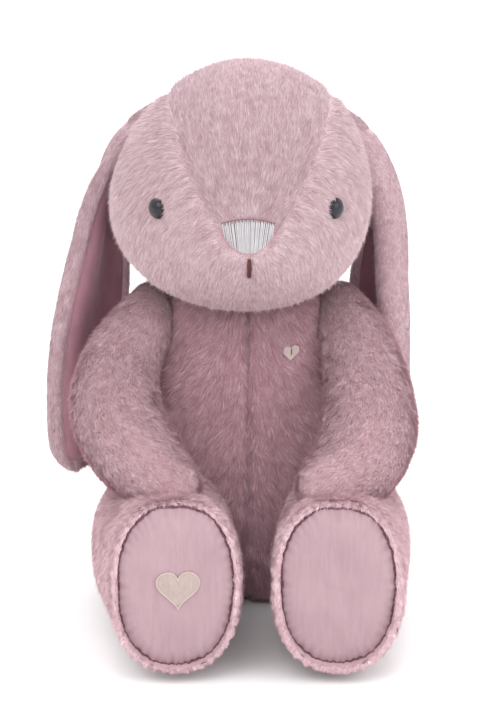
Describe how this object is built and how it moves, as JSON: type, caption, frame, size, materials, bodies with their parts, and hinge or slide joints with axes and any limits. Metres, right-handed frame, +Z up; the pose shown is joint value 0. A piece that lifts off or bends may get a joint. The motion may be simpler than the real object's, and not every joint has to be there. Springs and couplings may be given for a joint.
{
  "type": "stuffed bunny rabbit",
  "caption": "Seated plush rabbit with a round head, long lop ears, soft arms and forward legs with oval soles; head, ears, arms and legs move.",
  "frame": {"origin": "on the floor, at the centre of the rabbit's overall footprint", "axes": "+Z up; the rabbit faces -Y, and its own right side is at -X"},
  "size_m": [0.2076, 0.2426, 0.299],
  "materials": {
    "fur": "short plush pile, dusty mauve pink",
    "velour": "short shorn velour, pale mauve pink",
    "stuffing": "loose polyester fibre",
    "pouch_cloth": "plain woven cotton over pellets",
    "eye_gloss": "polished near-black",
    "washer_plastic": "moulded natural white",
    "nose_thread": "satin-stitched silver grey thread",
    "mouth_thread": "stranded dark brown thread",
    "heart_thread": "filled cream embroidery"
  },
  "bodies": {
    "torso": {"seat_panel": "fur", "chest_panel_right": "fur", "chest_panel_left": "fur", "back_panel_right": "fur", "back_panel_left": "fur", "torso_stuffing": "stuffing", "pellet_pouch": "pouch_cloth", "chest_heart": "heart_thread", "tail_cover": "fur", "tail_stuffing": "stuffing"},
    "head": {"head_gusset": "fur", "cheek_panel_right": "fur", "cheek_panel_left": "fur", "head_back_right": "fur", "head_back_left": "fur", "head_stuffing": "stuffing", "eye_right": "eye_gloss", "eye_left": "eye_gloss", "eye_washer_right": "washer_plastic", "eye_washer_left": "washer_plastic", "nose_embroidery": "nose_thread", "mouth_stitch": "mouth_thread"},
    "arm_right": {"arm_top_panel_right": "fur", "arm_under_panel_right": "fur", "arm_stuffing_right": "stuffing"},
    "leg_right": {"leg_outer_panel_right": "fur", "leg_inner_panel_right": "fur", "foot_sole_right": "velour", "leg_stuffing_right": "stuffing", "sole_heart_right": "heart_thread"},
    "ear_right": {"ear_back_right": "fur", "ear_lining_right": "velour"},
    "arm_left": {"arm_top_panel_left": "fur", "arm_under_panel_left": "fur", "arm_stuffing_left": "stuffing"},
    "leg_left": {"leg_outer_panel_left": "fur", "leg_inner_panel_left": "fur", "foot_sole_left": "velour", "leg_stuffing_left": "stuffing"},
    "ear_left": {"ear_back_left": "fur", "ear_lining_left": "velour"}
  },
  "joints": [
    {"name": "neck_nod", "type": "hinge", "parent": "torso", "child": "head", "pos_m": [0, 0.0443, 0.148], "axis": [1, 0, 0], "range_deg": [0, 10], "stiffness_Nm_per_rad": 1},
    {"name": "arm_raise_right", "type": "hinge", "parent": "torso", "child": "arm_right", "pos_m": [-0.054, 0.0343, 0.157], "axis": [-1, 0, 0], "range_deg": [0, 50]},
    {"name": "leg_splay_right", "type": "hinge", "parent": "torso", "child": "leg_right", "pos_m": [-0.044, 0.0013, 0.0347], "axis": [0, 0, -1], "range_deg": [0, 30], "stiffness_Nm_per_rad": 0.1},
    {"name": "ear_lift_right", "type": "hinge", "parent": "head", "child": "ear_right", "pos_m": [-0.0615, 0.0483, 0.2785], "axis": [0, 1, 0], "range_deg": [0, 100]},
    {"name": "arm_raise_left", "type": "hinge", "parent": "torso", "child": "arm_left", "pos_m": [0.054, 0.0343, 0.157], "axis": [-1, 0, 0], "range_deg": [0, 50]},
    {"name": "leg_splay_left", "type": "hinge", "parent": "torso", "child": "leg_left", "pos_m": [0.052, 0.0013, 0.0347], "axis": [0, 0, 1], "range_deg": [0, 30], "stiffness_Nm_per_rad": 0.1},
    {"name": "ear_lift_left", "type": "hinge", "parent": "head", "child": "ear_left", "pos_m": [0.0615, 0.0483, 0.2785], "axis": [0, -1, 0], "range_deg": [0, 100]}
  ]
}
